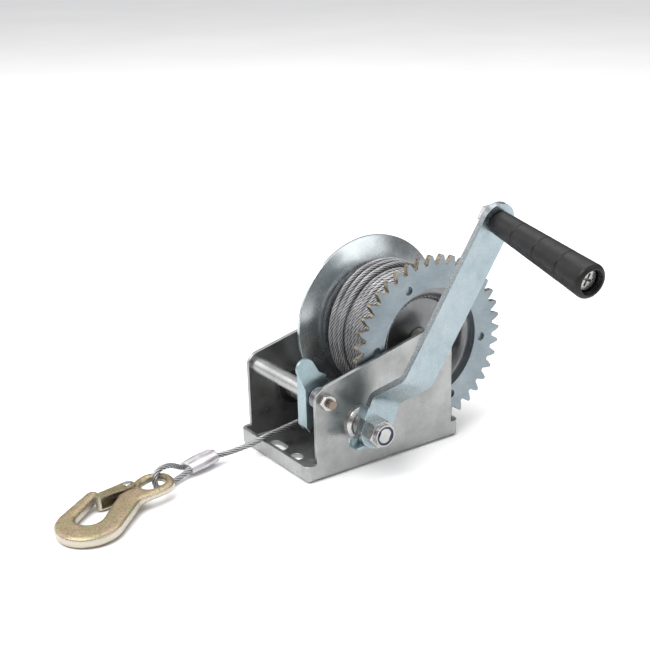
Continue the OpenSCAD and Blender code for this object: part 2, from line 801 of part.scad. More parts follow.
// Thumb lever that rises from the near cheek, with a notched rear corner
module lever_2d() {
    difference() {
        union() {
            link([-1.5, 8, 7.5], [-8, 21.5, 6.6]);
            polygon([[-9, 12], [0, 18.5], [7.9, 13.6], [6.8, 11.8], [9.4, 10.2], [7, 2], [-6, 2]]);
        }
        circle(tie_d / 2 + fit);
    }
}

module pawl() {
    color("#b9cbd0") difference() {
        union() {
            translate([0, pivot_y, pivot_z]) {
                side_cut(pawl_x0, pawl_x0 + pawl_t) cheek_2d();
                side_cut(pawl_x1 - pawl_t, pawl_x1) {
                    cheek_2d();
                    lever_2d();
                }
            }
            translate([pawl_x0, pivot_y + web_y, pivot_z - 20]) cube([pawl_w, pawl_t, 32]);
        }
        along_x(pawl_x0 - 1, pivot_y, pivot_z) cylinder(r = tie_d / 2 + fit, h = pawl_w + 2);
    }
}

// ---------- rope, ferrule and hook ----------

// Rings of a tube swept along the route, with the route's own points as centres
function route_dir(i) = unit(ROUTE[min(i + 1, len(ROUTE) - 1)] - ROUTE[max(i - 1, 0)]);
function ring(i, sides) =
    let (d = route_dir(i), side = unit(cross(d, [0.9, 0.35, 0.1])), up = cross(side, d))
    [for (k = [0 : sides - 1]) ROUTE[i] + rope_d / 2 * (cos(k * 360 / sides) * side + sin(k * 360 / sides) * up)];

module rope_run() {
    sides = 10;
    n = len(ROUTE);
    color("#9a9897") polyhedron(
        points = [for (i = [0 : n - 1]) each ring(i, sides)],
        faces = concat(
            [[for (k = [0 : sides - 1]) k]],
            [
                for (i = [0 : n - 2], k = [0 : sides - 1])
                    let (a = i * sides, b = (k + 1) % sides)
                    each [[a + k, a + sides + k, a + b], [a + b, a + sides + k, a + sides + b]]
            ],
            [[for (k = [sides - 1 : -1 : 0]) (n - 1) * sides + k]]
        )
    );
}

module ferrule_place() {
    translate(ferrule_mid) rotate([0, 0, ferrule_turn]) rotate([90 + ferrule_pitch, 0, 0])
        translate([0, 0, -ferrule_len / 2]) children();
}

// Aluminium sleeve with two side-by-side barrels
module ferrule() {
    color("#d9d8da") ferrule_place() linear_extrude(ferrule_len) difference() {
        union() {
            for (s = [-1, 1]) translate([s * barrel_gap / 2, 0]) circle(rope_d / 2 + ferrule_wall);
            square([barrel_gap, rope_d + ferrule_wall * 2 - 3], center = true);
        }
        for (s = [-1, 1]) translate([s * barrel_gap / 2, 0]) circle(rope_d / 2 + 0.15);
    }
}

module hook_place() {
    translate([hook_eye[0], hook_eye[1], hook_lift]) rotate([0, 0, hook_dir]) rotate([0, hook_tilt, 0])
        children();
}

module hook() {
    color("#c9b077") hook_place() difference() {
        union() {
            linear_extrude(hook_t) difference() {
                union() {
                    link(hook_back, hook_neck);
                    link(hook_back, hook_tip);
                }
                link(throat_in, throat_out);
            }
            translate([0, 0, head_z]) linear_extrude(hook_t - head_z) difference() {
                link(hook_neck, hook_head);
                link(eye_a, eye_b);
            }
            translate([0, 0, 0.5]) linear_extrude(lug_t - 0.5)
                link([latch_pin[0], latch_pin[1], lug_r], [17, -4, 6]);
        }
        translate([latch_pin[0], latch_pin[1], -1]) cylinder(d = rivet_pin_d, h = hook_t + 2);
        translate([latch_pin[0], latch_pin[1], lug_t]) cylinder(r = spring_seat_r, h = hook_t);
    }
}

module latch_rivet() {
    low = -latch_gap - latch_t;
    high = hook_t + latch_gap + latch_t;
    color("#c8c4b4") hook_place() translate([latch_pin[0], latch_pin[1], low]) {
        cylinder(d = rivet_pin_d, h = high - low);
        translate([0, 0, high - low]) cylinder(r1 = 2.8, r2 = 2, h = 1);
    }
}

module latch_spring() {
    color("#777a7c") hook_place()
        for (k = [0, 1])
            translate([latch_pin[0], latch_pin[1], lug_t + 0.8 + k * 1.1])
                rotate_extrude() translate([2.6, 0]) circle(d = 0.9, $fn = 24);
}

module latch_2d() {
    link([latch_pin[0], latch_pin[1], latch_r], latch_nose);
}

// Folded latch: two flanges either side of the hook, joined by a web on the outer side
module hook_latch() {
    color("#b7b487") hook_place() difference() {
        union() {
            for (z = [-latch_gap - latch_t, hook_t + latch_gap])
                translate([0, 0, z]) linear_extrude(latch_t) latch_2d();
            translate([0, 0, -latch_gap]) linear_extrude(hook_t + 2 * latch_gap) difference() {
                latch_2d();
                translate([-latch_web, latch_web]) latch_2d();
                translate([latch_pin[0] - 8, latch_pin[1] - 3.4]) square([20, 30]);
            }
        }
        translate([latch_pin[0], latch_pin[1], -3]) cylinder(r = rivet_pin_d / 2 + fit, h = hook_t + 6);
    }
}

frame();
tie_bolt();
tie_nut();
tie_sleeve();
pawl_spacer();
pawl_spring();
drum_axle();
drum_axle_nut();
axle_spacer_far();
axle_spacer_near();
pinion_bush_far();
pinion_bush_near();
drum_hub();
drum_flange_far();
drum_flange_near();
drum_gear();
drum_bushes();
rope_clamp();
rope_clamp_screw();
rope_winding();
pinion_shaft();
pinion_gear();
shaft_ring();
crank_spacer();
crank_lock_plate();
crank_arm();
crank_nut();
crank_nut_insert();
grip_bolt();
grip_washer();
grip_nut();
grip();
pawl();
rope_run();
ferrule();
hook();
latch_rivet();
latch_spring();
hook_latch();
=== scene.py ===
"""Looks of the boat trailer hand winch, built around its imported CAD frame.

The stamped and turned steel parts are the CAD nodes themselves, with eased edges and
plated-metal materials. The wire rope, the pressed ferrule and the forged hook are pieces
made here. Lengths named in millimetres are turned to metres by MM or mm().
"""

import math
import random

import bmesh
import bpy
from mathutils import Matrix, Vector


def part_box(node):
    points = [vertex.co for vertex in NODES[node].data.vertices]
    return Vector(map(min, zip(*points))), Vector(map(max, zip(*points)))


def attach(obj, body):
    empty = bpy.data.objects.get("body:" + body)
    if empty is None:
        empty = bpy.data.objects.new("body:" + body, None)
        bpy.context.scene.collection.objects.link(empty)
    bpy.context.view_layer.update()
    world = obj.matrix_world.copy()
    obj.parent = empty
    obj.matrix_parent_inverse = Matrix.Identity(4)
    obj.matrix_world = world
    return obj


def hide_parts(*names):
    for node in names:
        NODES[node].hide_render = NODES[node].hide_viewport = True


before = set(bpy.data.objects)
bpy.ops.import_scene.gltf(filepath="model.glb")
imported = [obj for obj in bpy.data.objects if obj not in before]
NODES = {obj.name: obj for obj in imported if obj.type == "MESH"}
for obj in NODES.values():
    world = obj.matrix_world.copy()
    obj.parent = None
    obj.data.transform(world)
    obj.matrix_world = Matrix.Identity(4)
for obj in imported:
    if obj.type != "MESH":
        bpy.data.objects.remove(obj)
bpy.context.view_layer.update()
MM = 0.001
MM_PER_M = 1000


def mm(x, y, z):
    """A point given in millimetres, as a Vector in metres."""
    return Vector((x, y, z)) * MM


# ---------------------------------------------------------------- camera

CAMERA_AT = Vector((0.65769, -0.45966, 0.37222))
CAMERA_AZIMUTH = math.radians(53.4933)
CAMERA_ELEVATION = math.radians(20.1591)
CAMERA_ROLL = math.radians(-0.6659)
CAMERA_LENS = 68.6
CAMERA_SENSOR = 36
CAMERA_CLIP = (0.01, 100)
CAMERA_SHIFT = (-0.0846, 0.0154)


def make_camera():
    data = bpy.data.cameras.new("camera")
    data.lens = CAMERA_LENS
    data.sensor_width = CAMERA_SENSOR
    data.shift_x, data.shift_y = CAMERA_SHIFT
    data.clip_start, data.clip_end = CAMERA_CLIP
    cam = bpy.data.objects.new("camera", data)
    bpy.context.scene.collection.objects.link(cam)
    sa, ca = math.sin(CAMERA_AZIMUTH), math.cos(CAMERA_AZIMUTH)
    se, ce = math.sin(CAMERA_ELEVATION), math.cos(CAMERA_ELEVATION)
    forward = Vector((-sa * ce, ca * ce, -se))
    level = Vector((ca, sa, 0))
    upright = level.cross(forward)
    cr, sr = math.cos(CAMERA_ROLL), math.sin(CAMERA_ROLL)
    right = level * cr + upright * sr
    up = upright * cr - level * sr
    turn = Matrix((right, up, -forward)).transposed().to_4x4()
    cam.matrix_world = Matrix.Translation(CAMERA_AT) @ turn
    bpy.context.scene.camera = cam


make_camera()

# ---------------------------------------------------------------- node graphs


class Graph:
    """A material's node tree, with short calls for the nodes used here."""

    def __init__(self, name):
        self.material = bpy.data.materials.new(name)
        self.material.use_nodes = True
        self.tree = self.material.node_tree
        self.tree.nodes.clear()
        self.out = self.tree.nodes.new("ShaderNodeOutputMaterial")
        self.shader = self.tree.nodes.new("ShaderNodeBsdfPrincipled")
        self.link(self.shader.outputs[0], self.out.inputs["Surface"])

    def link(self, a, b):
        self.tree.links.new(a, b)

    def put(self, socket, value):
        if isinstance(value, bpy.types.NodeSocket):
            self.link(value, socket)
        elif value is not None:
            if socket.type == "RGBA" and len(value) == 3:
                value = (*value, 1)
            socket.default_value = value

    def coords(self, scale=(MM_PER_M,) * 3, kind="Object"):
        """Coordinates in millimetres of the piece's own space, stretched by scale."""
        tc = self.tree.nodes.new("ShaderNodeTexCoord")
        mp = self.tree.nodes.new("ShaderNodeMapping")
        mp.inputs["Scale"].default_value = scale
        self.link(tc.outputs[kind], mp.inputs["Vector"])
        return mp.outputs[0]

    def noise(self, per_mm, stretch=(1, 1, 1), detail=4, rough=0.55, distort=0.0):
        n = self.tree.nodes.new("ShaderNodeTexNoise")
        n.inputs["Scale"].default_value = 1
        n.inputs["Detail"].default_value = detail
        n.inputs["Roughness"].default_value = rough
        n.inputs["Distortion"].default_value = distort
        k = MM_PER_M * per_mm
        self.link(self.coords([k * s for s in stretch]), n.inputs["Vector"])
        return n.outputs["Fac"]

    def cells(self, per_mm):
        n = self.tree.nodes.new("ShaderNodeTexVoronoi")
        n.inputs["Scale"].default_value = 1
        k = MM_PER_M * per_mm
        self.link(self.coords((k, k, k)), n.inputs["Vector"])
        return n.outputs["Color"]

    def math(self, op, a, b=None):
        n = self.tree.nodes.new("ShaderNodeMath")
        n.operation = op
        for socket, value in zip(n.inputs, (a, b)):
            self.put(socket, value)
        return n.outputs[0]

    def ramp(self, fac, *stops):
        """A colour ramp; each stop is (position, colour or grey value)."""
        n = self.tree.nodes.new("ShaderNodeValToRGB")
        els = n.color_ramp.elements
        while len(els) < len(stops):
            els.new(0.5)
        for el, (at, colour) in zip(els, stops):
            el.position = at
            if not hasattr(colour, "__len__"):
                colour = (colour,) * 3
            el.color = (*colour, 1)
        self.link(fac, n.inputs[0])
        return n.outputs[0]

    def mix(self, fac, a, b):
        n = self.tree.nodes.new("ShaderNodeMix")
        n.data_type = "RGBA"
        self.put(n.inputs[0], fac)
        self.put(n.inputs[6], a)
        self.put(n.inputs[7], b)
        return n.outputs[2]

    def span(self, value, lo, hi, to_lo=0.0, to_hi=1.0):
        n = self.tree.nodes.new("ShaderNodeMapRange")
        for socket, v in zip(n.inputs, (value, lo, hi, to_lo, to_hi)):
            self.put(socket, v)
        return n.outputs[0]

    def split(self, vector):
        n = self.tree.nodes.new("ShaderNodeSeparateXYZ")
        self.link(vector, n.inputs[0])
        return n.outputs

    def bump(self, height, depth_mm, strength=1.0, over=None):
        n = self.tree.nodes.new("ShaderNodeBump")
        n.inputs["Strength"].default_value = strength
        n.inputs["Distance"].default_value = depth_mm * MM
        self.put(n.inputs["Height"], height)
        if over is not None:
            self.link(over, n.inputs["Normal"])
        return n.outputs[0]

    def set(self, **sockets):
        for name, value in sockets.items():
            self.put(self.shader.inputs[name.replace("_", " ")], value)

    def so_far(self, name):
        """What feeds one of the shader's inputs already."""
        return self.shader.inputs[name].links[0].from_socket


def scaled(colour, by):
    return tuple(min(1, c * by) for c in colour)


# For each look: dark and light tone, roughness from and to, stretch of the rolled grain along
# X, Y and Z, and the strength of the spangle's flecks and of the scuffs
PLATING = {
    "frame_zinc": (
        (0.27, 0.275, 0.272), (0.42, 0.425, 0.42), (0.26, 0.42), (1, 0.12, 0.12), 0.35, 0.25,
    ),
    "gear_zinc": (
        (0.20, 0.24, 0.262), (0.275, 0.32, 0.345), (0.3, 0.44), (1, 0.2, 1), 0.3, 0.3,
    ),
    "drum_zinc": (
        (0.39, 0.425, 0.44), (0.49, 0.525, 0.54), (0.2, 0.3), (1, 0.3, 0.3), 0.15, 0.08,
    ),
    # the near flange's recess: zinc painted darker than the drum's, as painted shade in the recess
    "cup_zinc_painted_shade": (
        (0.15, 0.155, 0.16), (0.24, 0.245, 0.25), (0.3, 0.42), (1, 0.3, 0.3), 0.2, 0.2,
    ),
    "crank_zinc": (
        (0.27, 0.335, 0.36), (0.37, 0.435, 0.46), (0.22, 0.36), (1, 0.5, 0.15), 0.25, 0.18,
    ),
    "pawl_zinc": (
        (0.25, 0.33, 0.355), (0.34, 0.43, 0.455), (0.26, 0.38), (1, 1, 0.3), 0.3, 0.2,
    ),
    "cut_steel": (
        (0.32, 0.29, 0.24), (0.52, 0.48, 0.41), (0.3, 0.45), (1, 0.2, 0.2), 0.2, 0.4,
    ),
    "fastener": (
        (0.36, 0.356, 0.35), (0.56, 0.55, 0.54), (0.18, 0.32), (1, 1, 1), 0.2, 0.3,
    ),
    "threaded": (
        (0.36, 0.356, 0.35), (0.56, 0.55, 0.54), (0.2, 0.34), (0.2, 1, 1), 0.2, 0.3,
    ),
    "spring_steel": (
        (0.16, 0.165, 0.18), (0.3, 0.31, 0.33), (0.25, 0.4), (1, 1, 1), 0.1, 0.2,
    ),
    "bronze": (
        (0.20, 0.15, 0.09), (0.36, 0.28, 0.18), (0.35, 0.5), (1, 1, 1), 0.3, 0.5,
    ),
}


def plated(name, look=None):
    """Zinc plating: clouded tone, fine spangle, rolled grain and small scuffs."""
    dark, light, rough, grain, fleck, scuff = PLATING[look or name]
    g = Graph(name)
    cloud = g.noise(0.045, detail=3)
    tone = g.ramp(cloud, (0.32, dark), (0.68, light))
    spangle = g.math("MULTIPLY", g.split(g.cells(2.4))[0], fleck)
    tone = g.mix(spangle, tone, scaled(dark, 0.78))
    streak = g.noise(0.5, stretch=grain, detail=5, rough=0.65)
    tone = g.mix(g.span(streak, 0.35, 0.75, 0, 0.28), tone, scaled(light, 1.22))
    nick = g.noise(0.35, detail=8, rough=0.8, distort=1.5)
    nick = g.span(nick, 0.64, 0.72, 0, scuff)
    tone = g.mix(nick, tone, scaled(dark, 0.5))
    g.set(Base_Color=tone, Metallic=0.94)
    r = g.span(g.noise(0.12, detail=4), 0.3, 0.7, rough[0], rough[1])
    g.set(Roughness=g.math("ADD", r, g.math("MULTIPLY", nick, 0.25)))
    fine = g.bump(g.noise(3.2, stretch=grain, detail=3), 0.012, 0.5)
    g.set(Normal=g.bump(cloud, 0.25, 0.25, over=fine))
    return g


THREAD_PITCH = 1.25


def threads_along_x(g, from_mm, tint):
    """Adds a screw thread to a bolt that lies along X, beyond from_mm."""
    x = g.split(g.coords())[0]
    wave = g.math("PINGPONG", x, THREAD_PITCH / 2)
    on = g.math("GREATER_THAN", x, from_mm)
    height = g.math("MULTIPLY", wave, on)
    g.set(Normal=g.bump(height, 1.0, over=g.so_far("Normal")))
    # the roots of the thread are painted dark: painted shade in its valleys
    valley_shade = g.mix(g.span(wave, 0, THREAD_PITCH / 2, 0.75, 0.1), tint, (0.03, 0.025, 0.02))
    g.set(Base_Color=g.mix(on, g.so_far("Base Color"), valley_shade))


def facing_x(g):
    """How squarely the surface faces along the winch's axles, from 0 to 1."""
    geo = g.tree.nodes.new("ShaderNodeNewGeometry")
    return g.math("ABSOLUTE", g.split(geo.outputs["True Normal"])[0])


def shorn_edges(g):
    """Darkens the sheared edges of a flat bar, with a torn, grainy tone."""
    edge = g.math("LESS_THAN", facing_x(g), 0.45)
    grain = g.noise(1.6, detail=6, rough=0.7)
    torn = g.ramp(grain, (0.35, (0.10, 0.108, 0.115)), (0.65, (0.42, 0.46, 0.48)))
    g.set(Base_Color=g.mix(edge, g.so_far("Base Color"), torn))


TEETH_FROM_R = 50.0


def gear_zinc():
    g = plated("gear_zinc")
    # the flanks and gullets of the teeth are milled after plating: faintly golden cut steel,
    # painted darker than that steel as painted shade on the flanks
    _, y, z = g.split(g.coords())
    centre = (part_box("drum_gear")[0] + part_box("drum_gear")[1]) / 2 / MM
    dy = g.math("SUBTRACT", y, centre.y)
    dz = g.math("SUBTRACT", z, centre.z)
    r = g.math("SQRT", g.math("ADD", g.math("MULTIPLY", dy, dy), g.math("MULTIPLY", dz, dz)))
    flank = g.math("LESS_THAN", facing_x(g), 0.5)
    cut = g.math("MULTIPLY", flank, g.math("GREATER_THAN", r, TEETH_FROM_R))
    # the flank tone: golden cut steel darkened by painted shade
    flank_steel_and_shade = g.ramp(g.noise(0.6, detail=4), (0.3, (0.07, 0.058, 0.045)), (0.7, (0.34, 0.30, 0.235)))
    g.set(Base_Color=g.mix(cut, g.so_far("Base Color"), flank_steel_and_shade))
    return g.material


def crank_zinc():
    g = plated("crank_zinc")
    shorn_edges(g)
    return g.material


def threaded_bolt(name, from_mm, tint):
    g = plated(name, "threaded")
    threads_along_x(g, from_mm, tint)
    return g.material


def black_bush():
    g = Graph("black_bush")
    grain = g.noise(0.9, detail=5)
    g.set(Base_Color=g.ramp(grain, (0.3, (0.008, 0.008, 0.009)), (0.75, (0.035, 0.033, 0.032))))
    g.set(Roughness=g.span(grain, 0.3, 0.7, 0.25, 0.5))
    g.set(Normal=g.bump(g.noise(2.5, detail=3), 0.03, 0.5), Metallic=0.0)
    return g.material


def nylon_insert():
    g = Graph("nylon_insert")
    grain = g.noise(1.2, detail=3)
    g.set(Base_Color=g.ramp(grain, (0.3, (0.008, 0.016, 0.045)), (0.75, (0.02, 0.045, 0.11))))
    g.set(Roughness=g.span(grain, 0.3, 0.7, 0.3, 0.45), Normal=g.bump(grain, 0.03, 0.4))
    return g.material


def grip_plastic():
    """Near-black moulded plastic, satin, with fine pale rubs and a pebbled skin."""
    g = Graph("grip_plastic")
    cloud = g.noise(0.09, detail=3)
    base = g.ramp(cloud, (0.3, (0.004, 0.0036, 0.004)), (0.7, (0.009, 0.0082, 0.0088)))
    rub = g.noise(0.8, stretch=(0.35, 1.6, 1), detail=7, rough=0.75, distort=1.0)
    rub = g.span(rub, 0.66, 0.74, 0, 0.3)
    g.set(Base_Color=g.mix(rub, base, (0.12, 0.115, 0.11)))
    g.set(Roughness=g.span(g.noise(0.25, detail=4), 0.3, 0.7, 0.36, 0.52))
    g.set(Specular_IOR_Level=0.3)
    g.set(Normal=g.bump(g.noise(2.2, detail=4), 0.05, 0.5))
    return g.material


def rope_steel():
    """Galvanised wire rope: wires laid in each strand, by the strand and length UV map."""
    g = Graph("rope_steel")
    uv = g.split(g.coords((1, 1, 1), "UV"))
    wires = g.math("ADD", g.math("MULTIPLY", uv[0], WIRES), g.math("MULTIPLY", uv[1], WIRE_TWIST))
    wave = g.math("PINGPONG", wires, 0.5)
    cloud = g.noise(0.08, detail=4)
    tone = g.ramp(cloud, (0.3, (0.34, 0.34, 0.35)), (0.7, (0.56, 0.56, 0.57)))
    # the grooves between the wires are painted dark: painted shade in the creases
    wire_groove_shade = g.span(wave, 0.0, 0.26, 0.5, 0)
    tone = g.mix(wire_groove_shade, tone, (0.05, 0.048, 0.048))
    # the valleys between the strands are painted near black: painted shade in the creases
    across = g.math("PINGPONG", uv[0], 0.5)
    valley_shade = g.span(across, 0.04, 0.27, 0.97, 0)
    tone = g.mix(valley_shade, tone, (0.02, 0.019, 0.019))
    g.set(Base_Color=tone, Metallic=0.9)
    g.set(Roughness=g.span(g.noise(0.6, detail=4), 0.3, 0.7, 0.32, 0.5))
    height = g.math("SQRT", g.math("MULTIPLY", wave, 2.0))
    g.set(Normal=g.bump(height, 0.16, 0.8))
    return g.material


def ferrule_aluminium():
    g = Graph("ferrule_aluminium")
    cloud = g.noise(0.14, detail=4)
    tone = g.ramp(cloud, (0.3, (0.44, 0.425, 0.445)), (0.7, (0.62, 0.60, 0.62)))
    mark = g.span(g.noise(0.6, stretch=(1, 0.25, 1), detail=7, rough=0.7), 0.58, 0.7, 0, 0.5)
    g.set(Base_Color=g.mix(mark, tone, (0.34, 0.33, 0.34)), Metallic=0.88)
    g.set(Roughness=g.span(g.noise(0.4), 0.3, 0.7, 0.34, 0.52))
    rough = g.bump(g.noise(0.5, detail=5), 0.12, 0.5)
    g.set(Normal=g.bump(g.noise(2.6, detail=3), 0.02, 0.5, over=rough))
    return g.material


def passivated(name, gold, brown, bloom):
    """Yellow passivated zinc: gold with pink and green bloom over a sandy forged skin."""
    g = Graph(name)
    cloud = g.noise(0.07, detail=4, distort=0.6)
    tone = g.ramp(cloud, (0.28, brown), (0.5, gold), (0.74, scaled(gold, 1.18)))
    film = g.noise(0.11, detail=3, distort=1.8)
    green, pink, grey_green = (0.36, 0.40, 0.20), (0.56, 0.36, 0.29), (0.33, 0.38, 0.27)
    hue = g.ramp(film, (0.3, green), (0.45, gold), (0.6, pink), (0.75, grey_green))
    tone = g.mix(bloom, tone, hue)
    sand = g.noise(0.95, detail=6, rough=0.8)
    tone = g.mix(g.span(sand, 0.5, 0.62, 0, 0.85), tone, scaled(brown, 0.42))
    g.set(Metallic=0.92)
    # the steep sides and rims of the forging are painted paler: rubbed wear along with a painted
    # highlight
    geo = g.tree.nodes.new("ShaderNodeNewGeometry")
    flat = g.math("ABSOLUTE", g.split(geo.outputs["Normal"])[2])
    rim_wear_and_highlight = g.span(g.math("ADD", flat, g.math("MULTIPLY", sand, 0.35)), 0.45, 0.95, 0.75, 0)
    g.set(Base_Color=g.mix(rim_wear_and_highlight, tone, (0.55, 0.52, 0.45)))
    worn = g.math("ADD", sand, g.math("MULTIPLY", rim_wear_and_highlight, -0.4))
    g.set(Roughness=g.span(worn, 0.1, 0.7, 0.16, 0.46))
    lumps = g.bump(g.noise(0.22, detail=3), 0.5, 0.45)
    g.set(Normal=g.bump(sand, 0.3, 0.9, over=lumps))
    return g.material


WIRES = 4.0
WIRE_TWIST = 2.0
HOOK_GOLD, HOOK_BROWN, HOOK_BLOOM = (0.37, 0.31, 0.18), (0.20, 0.15, 0.09), 0.55
LATCH_GOLD, LATCH_BROWN, LATCH_BLOOM = (0.33, 0.32, 0.16), (0.15, 0.115, 0.06), 0.35
MATERIALS = {
    "frame_zinc": plated("frame_zinc").material,
    "gear_zinc": gear_zinc(),
    "drum_zinc": plated("drum_zinc").material,
    "crank_zinc": crank_zinc(),
    "pawl_zinc": plated("pawl_zinc").material,
    "cut_steel": plated("cut_steel").material,
    "fastener": plated("fastener").material,
    "spring_steel": plated("spring_steel").material,
    "bronze": plated("bronze").material,
    "black_bush": black_bush(),
    "nylon_insert": nylon_insert(),
    "grip_plastic": grip_plastic(),
    "rope_steel": rope_steel(),
    "ferrule_aluminium": ferrule_aluminium(),
    "hook_passivated": passivated("hook_passivated", HOOK_GOLD, HOOK_BROWN, HOOK_BLOOM),
    "latch_passivated": passivated(
        "latch_passivated", LATCH_GOLD, LATCH_BROWN, LATCH_BLOOM
    ),
}

# ---------------------------------------------------------------- CAD nodes

SLOT_OF = {
    "frame": "frame_zinc",
    "tie_bolt": "fastener",
    "tie_nut": "fastener",
    "tie_sleeve": "frame_zinc",
    "pawl_spacer": "spring_steel",
    "pawl_spring": "spring_steel",
    "drum_axle": "fastener",
    "drum_axle_nut": "fastener",
    "axle_spacer_far": "fastener",
    "axle_spacer_near": "fastener",
    "pinion_bush_far": "black_bush",
    "pinion_bush_near": "fastener",
    "drum_hub": "drum_zinc",
    "drum_flange_far": "drum_zinc",
    "drum_flange_near": "drum_zinc",
    "drum_gear": "gear_zinc",
    "drum_bushes": "bronze",
    "rope_clamp": "fastener",
    "rope_clamp_screw": "fastener",
    "pinion_shaft": "fastener",
    "pinion_gear": "cut_steel",
    "shaft_ring": "spring_steel",
    "crank_spacer": "fastener",
    "crank_lock_plate": "pawl_zinc",
    "crank_arm": "crank_zinc",
    "crank_nut": "fastener",
    "crank_nut_insert": "nylon_insert",
    "grip_bolt": "fastener",
    "grip_washer": "fastener",
    "grip_nut": "fastener",
    "grip": "grip_plastic",
    "pawl": "pawl_zinc",
    "latch_rivet": "fastener",
    "latch_spring": "spring_steel",
    "hook_latch": "latch_passivated",
}
EDGE_MM = {"frame": 0.5, "crank_arm": 0.6, "grip": 0.5, "pawl": 0.35, "drum_gear": 0.25}
EDGE_DEFAULT_MM = 0.25
EDGE_ANGLE = math.radians(32)
FLAT_WITHIN = math.radians(0.4)
WELD_WITHIN = 0.002 * MM


def ease_edges(obj, width_mm):
    """Merges the facets of flat faces and rounds the sharp edges, as modifiers only."""
    weld = obj.modifiers.new("weld", "WELD")
    weld.merge_threshold = WELD_WITHIN
    flat = obj.modifiers.new("flat", "DECIMATE")
    flat.decimate_type = "DISSOLVE"
    flat.angle_limit = FLAT_WITHIN
    bevel = obj.modifiers.new("edge", "BEVEL")
    bevel.width = width_mm * MM
    bevel.segments = 2
    bevel.limit_method = "ANGLE"
    bevel.angle_limit = EDGE_ANGLE
    bevel.use_clamp_overlap = True
    even = obj.modifiers.new("even", "WEIGHTED_NORMAL")
    even.weight = 60


def smooth(obj):
    for p in obj.data.polygons:
        p.use_smooth = True
    if "custom_normal" in obj.data.attributes:
        obj.data.attributes.remove(obj.data.attributes["custom_normal"])


def dress(obj, material):
    obj.data.materials.clear()
    obj.data.materials.append(material)


for node, slot_name in SLOT_OF.items():
    piece = NODES[node]
    smooth(piece)
    dress(piece, MATERIALS[slot_name])
    ease_edges(piece, EDGE_MM.get(node, EDGE_DEFAULT_MM))

# the near flange is dressed in the darker zinc: painted shade in its recess
dress(NODES["drum_flange_near"], plated("cup_zinc_painted_shade").material)
# the pieces whose thread shows: its material, where along X it starts, and its tone
THREADED = (
    ("tie_bolt", "tie_thread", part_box("tie_nut")[1].x, (0.30, 0.235, 0.19)),
    ("drum_axle", "axle_thread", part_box("drum_axle_nut")[0].x, (0.6, 0.58, 0.55)),
    ("pinion_shaft", "shaft_thread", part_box("crank_arm")[1].x, (0.62, 0.66, 0.7)),
)
for node, thread, start, tint in THREADED:
    dress(NODES[node], threaded_bolt(thread, start / MM, tint))

# ---------------------------------------------------------------- wire rope

ROPE_D = 4.0 * MM
STRANDS = 6
LAY_PITCH = 20 * MM
GROOVE_FLOOR = 0.62
RUN_STEP = 1.0 * MM
TURN_STEP = 1.5 * MM


def smooth_line(points, step):
    """Points about step apart on a smooth curve (centripetal Catmull-Rom) through points."""
    pts = [2 * points[0] - points[1], *points, 2 * points[-1] - points[-2]]
    line = []
    for i in range(1, len(pts) - 2):
        p0, p1, p2, p3 = pts[i - 1 : i + 3]
        t1 = (p1 - p0).length ** 0.5
        t2 = t1 + (p2 - p1).length ** 0.5
        t3 = t2 + (p3 - p2).length ** 0.5
        n = max(2, round((p2 - p1).length / step * 4))
        for k in range(n):
            t = t1 + (t2 - t1) * k / n
            a1 = p0.lerp(p1, t / t1)
            a2 = p1.lerp(p2, (t - t1) / (t2 - t1))
            a3 = p2.lerp(p3, (t - t2) / (t3 - t2))
            b1 = a1.lerp(a2, t / t2)
            b2 = a2.lerp(a3, (t - t1) / (t3 - t1))
            line.append(b1.lerp(b2, (t - t1) / (t2 - t1)))
    line.append(points[-1].copy())
    return even_line(line, step)


def even_line(line, step):
    """The same line with its points evenly spaced, about step apart."""
    at = [0.0]
    for a, b in zip(line, line[1:]):
        at.append(at[-1] + (b - a).length)
    count = max(2, round(at[-1] / step))
    out, k = [], 0
    for i in range(count + 1):
        s = at[-1] * i / count
        while k < len(line) - 2 and at[k + 1] < s:
            k += 1
        span = at[k + 1] - at[k] or 1
        out.append(line[k].lerp(line[k + 1], (s - at[k]) / span))
    return out


def strand_profile(u):
    """Radius of a six-strand rope, as a share of its own, u of the way across a strand."""
    alpha = (u - 0.5) * 2 * math.pi / STRANDS
    centre, strand = 2 / 3, 1 / 3
    rise = math.sqrt(max(0.0, strand**2 - (centre * math.sin(alpha)) ** 2))
    return max(GROOVE_FLOOR, centre * math.cos(alpha) + rise)


def wire_rope(name, line, per_strand):
    """A mesh of twisted strands along line, with UVs across each strand and along it."""
    bm = bmesh.new()
    uv = bm.loops.layers.uv.new("strand")
    count = STRANDS * per_strand
    normal = (line[1] - line[0]).orthogonal().normalized()
    rings, travel = [], 0.0
    for i, p in enumerate(line):
        ahead = (line[min(i + 1, len(line) - 1)] - line[max(i - 1, 0)]).normalized()
        normal = (normal - ahead * normal.dot(ahead)).normalized()
        across = ahead.cross(normal)
        if i:
            travel += (p - line[i - 1]).length
        twist = 2 * math.pi * travel / LAY_PITCH
        ring = []
        for k in range(count):
            a = twist + 2 * math.pi * k / count
            r = ROPE_D / 2 * strand_profile((k % per_strand) / per_strand)
            ring.append(bm.verts.new(p + (normal * math.cos(a) + across * math.sin(a)) * r))
        rings.append((ring, travel / LAY_PITCH))
    for (ring, v0), (after, v1) in zip(rings, rings[1:]):
        for k in range(count):
            j = (k + 1) % count
            face = bm.faces.new((ring[k], ring[j], after[j], after[k]))
            u0, u1 = k / per_strand, (k + 1) / per_strand
            for loop, value in zip(face.loops, ((u0, v0), (u1, v0), (u1, v1), (u0, v1))):
                loop[uv].uv = value
            face.smooth = True
    bm.faces.new(list(reversed(rings[0][0])))
    bm.faces.new(rings[-1][0])
    return finish_mesh(name, bm)


def finish_mesh(name, bm):
    bmesh.ops.recalc_face_normals(bm, faces=bm.faces)
    data = bpy.data.meshes.new(name)
    bm.to_mesh(data)
    bm.free()
    obj = bpy.data.objects.new(name, data)
    bpy.context.scene.collection.objects.link(obj)
    return obj


